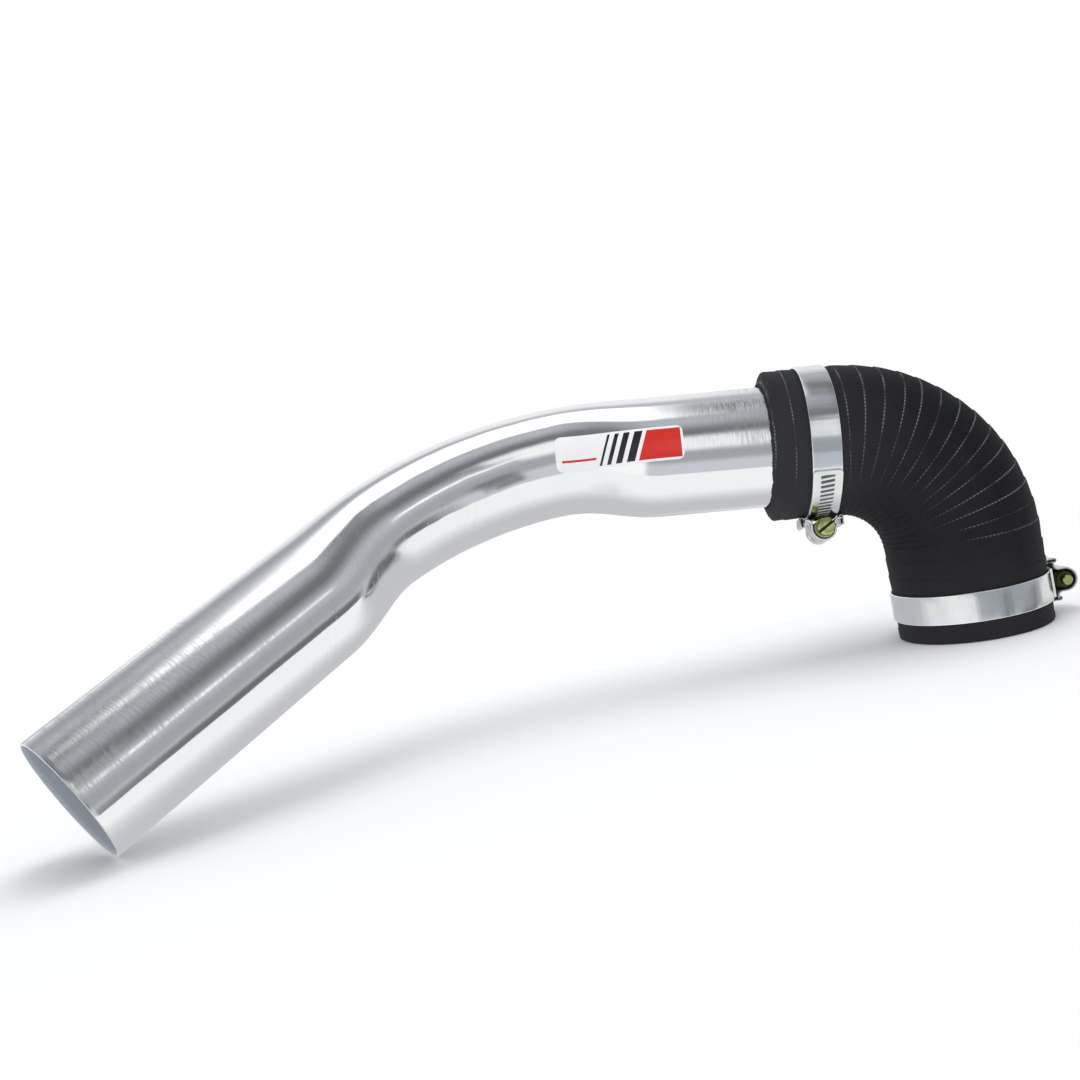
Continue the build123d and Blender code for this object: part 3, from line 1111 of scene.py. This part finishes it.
def studio_world():
    """White to the camera, an even fill to the light, and a grey room to what is glossy."""
    world = bpy.data.worlds.new("studio")
    world.use_nodes = True
    tree = world.node_tree
    start = Shade(tree)
    way = start.node("ShaderNodeTexCoord", {}, {}, "Generated")
    height = start.maths("ARCSINE", way.dot(table_up)) * (180 / pi)
    back = way.dot(table_back)
    right = way.dot(table_right)
    levels = (
        (-20, 0.62), (6, 0.62), (14, 0.40), (26, 0.40), (34, 0.50), (44, 0.50), (52, 0.30),
        (60, 0.17), (70, 0.20), (78, 0.36), (86, 0.50),
    )
    cool = Vector((0.96, 0.99, 1.05))
    stops = [((angle + 90) / 180, (*(cool * level), 1)) for angle, level in levels]
    tone = start.node("ShaderNodeValToRGB", {"stops": stops}, {"Fac": (height + 90) / 180})
    low_dark = right.step(0.70, 0.88) * (1 - height.step(4, 12)) * (1 - back.step(-0.1, 0.1))
    tone = low_dark.between(tone, (0.16, 0.165, 0.17, 1))
    strip = height.step(37, 39.5) * (1 - height.step(41.5, 44)) * (1 - back.step(-0.5, -0.2))
    strip = strip * right.step(-0.1, 0.65)
    tone = strip.between(tone, (1.15, 1.15, 1.17, 1))
    bar_dark = right.step(0.42, 0.50) * (1 - right.step(0.58, 0.66)) * (1 - back.step(-0.6, -0.3))
    bar_dark = bar_dark * height.step(-8, 0) * (1 - height.step(14, 24))
    tone = (bar_dark * 0.75).between(tone, (0.14, 0.145, 0.15, 1))
    panel = right.step(-1.0, -0.85) * (1 - right.step(-0.22, -0.12)) * (1 - back.step(-0.2, 0.1))
    panel = panel * height.step(-24, -10) * (1 - height.step(12, 20))
    window = right.step(-0.08, 0.02) * (1 - right.step(0.26, 0.36)) * (1 - back.step(-0.5, -0.3))
    window = window * height.step(28, 38) * (1 - height.step(52, 64))
    tone = start.maths("MAXIMUM", panel, window * 0.92).between(tone, (1.0, 1.0, 1.0, 1))
    paper = back.step(0.80, 0.95) * (1 - height.step(34, 50))
    room = paper.between(tone, (0.90, 0.905, 0.92, 1))
    over = start.maths("MAXIMUM", way.dot(box_way), 0.05)
    box_across = way.dot(box_level) / over
    box_along = abs(way.dot(box_rise) / over)
    box = box_across.step(-0.42, -0.08) * (1 - box_across.step(0.07, 0.17))
    box = box * (1 - box_along.step(0.26, 0.44))
    seen = (box * way.dot(box_way).step(0.1, 0.2)).between(room, (1.7, 1.7, 1.73, 1))
    camera_ray = start.node("ShaderNodeLightPath", {}, {}, "Is Camera Ray")
    through_ray = camera_ray.other("Is Transmission Ray")
    glossy_ray = start.maths("MAXIMUM", camera_ray.other("Is Glossy Ray"), through_ray)
    lit = glossy_ray.between((0.86, 0.865, 0.88, 1), seen)
    shown = camera_ray.between(lit, (1, 1, 1, 1))
    tree.links.new(shown.socket, tree.nodes["Background"].inputs["Color"])
    bpy.context.scene.world = world


def soft_box():
    """A tall soft box above and a little behind the part."""
    light = bpy.data.lights.new("soft_box", "AREA")
    light.shape = "RECTANGLE"
    light.size = box_width
    light.size_y = box_length
    light.energy = box_power
    lamp = placed("soft_box", light)
    lamp.matrix_world = standing(box_level, box_rise, box_way, middle + box_way * box_distance)
    lamp.visible_camera = False
    lamp.visible_glossy = False


def flat_sheet(name, corners):
    """A stage sheet with four corners."""
    mesh = bpy.data.meshes.new(name)
    mesh.from_pydata(corners, [], [(0, 1, 2, 3)])
    sheet = placed(name, mesh)
    return sheet


def paper_floor():
    """The floor: white paper that keeps the shadow and fades into the white behind it."""
    size = 3.0
    drop = -0.2 * mm
    fade_start = 0.20
    fade_end = 0.55
    corners = [(-size, -size, drop), (size, -size, drop), (size, size, drop), (-size, size, drop)]
    floor = flat_sheet("paper_floor", corners)
    floor.visible_glossy = False
    finish = Finish("white_paper")
    finish.give(Base_Color=(0.93, 0.935, 0.945, 1), Roughness=0.9, Specular_IOR_Level=0.0)
    tree = finish.start.tree
    place = finish.start.node("ShaderNodeNewGeometry", {}, {}, "Position")
    settings = {"operation": "DISTANCE"}
    away = finish.start.node("ShaderNodeVectorMath", settings, {0: place, 1: middle}, "Value")
    camera_ray = finish.start.node("ShaderNodeLightPath", {}, {}, "Is Camera Ray")
    white = finish.start.node("ShaderNodeEmission", {}, {"Color": (1, 1, 1, 1), "Strength": 1.0})
    share = camera_ray * away.step(fade_start, fade_end)
    paper = Shade(tree, finish.surface.outputs[0])
    mixed = finish.start.node("ShaderNodeMixShader", {}, {0: share, 1: paper, 2: white})
    tree.links.new(mixed.socket, tree.nodes["Material Output"].inputs["Surface"])
    floor.data.materials.append(finish.material)


def reflected_paper():
    """The paper as the metal shows it: a glowing white sheet that ends under the camera, a painted
    reflection with a painted shadow below the pipe."""
    height = -23.4 * mm
    front_edge = -440 * mm
    back_edge = 0.8
    side = 1.5
    outlet_back = 22 * mm
    inlet_right = -210 * mm
    inlet_back = 20 * mm
    inlet_normal = (0.735, -0.678)
    shade_core = 15 * mm
    shade_edge = 90 * mm
    edges = ((-side, front_edge), (side, front_edge), (side, back_edge), (-side, back_edge))
    corners = []
    for right, back in edges:
        corners.append(table_right * right + table_back * back + table_up * height)
    sheet = flat_sheet("reflected_paper", corners)
    sheet.visible_camera = False
    sheet.visible_diffuse = False
    sheet.visible_shadow = False
    finish = Finish("painted_paper_reflection")
    tree = finish.start.tree
    place = finish.start.node("ShaderNodeNewGeometry", {}, {}, "Position")
    right = place.dot(table_right)
    back = place.dot(table_back)
    under_outlet = abs(back - outlet_back)
    from_inlet = (right - inlet_right) * inlet_normal[0] + (back - inlet_back) * inlet_normal[1]
    off_pipe = finish.start.maths("MINIMUM", under_outlet, abs(from_inlet))
    shade = 1 - off_pipe.step(shade_core, shade_edge)
    tone = shade.between((0.94, 0.945, 0.955, 1), (0.57, 0.575, 0.59, 1))
    # The sheet glows by itself: a painted reflection of the paper, with a painted shadow below the
    # pipe.
    glow = finish.start.node("ShaderNodeEmission", {}, {"Color": tone, "Strength": 1.0})
    tree.links.new(glow.socket, tree.nodes["Material Output"].inputs["Surface"])
    sheet.data.materials.append(finish.material)


studio_world()
soft_box()
paper_floor()
reflected_paper()
bpy.context.scene.view_settings.view_transform = "Standard"
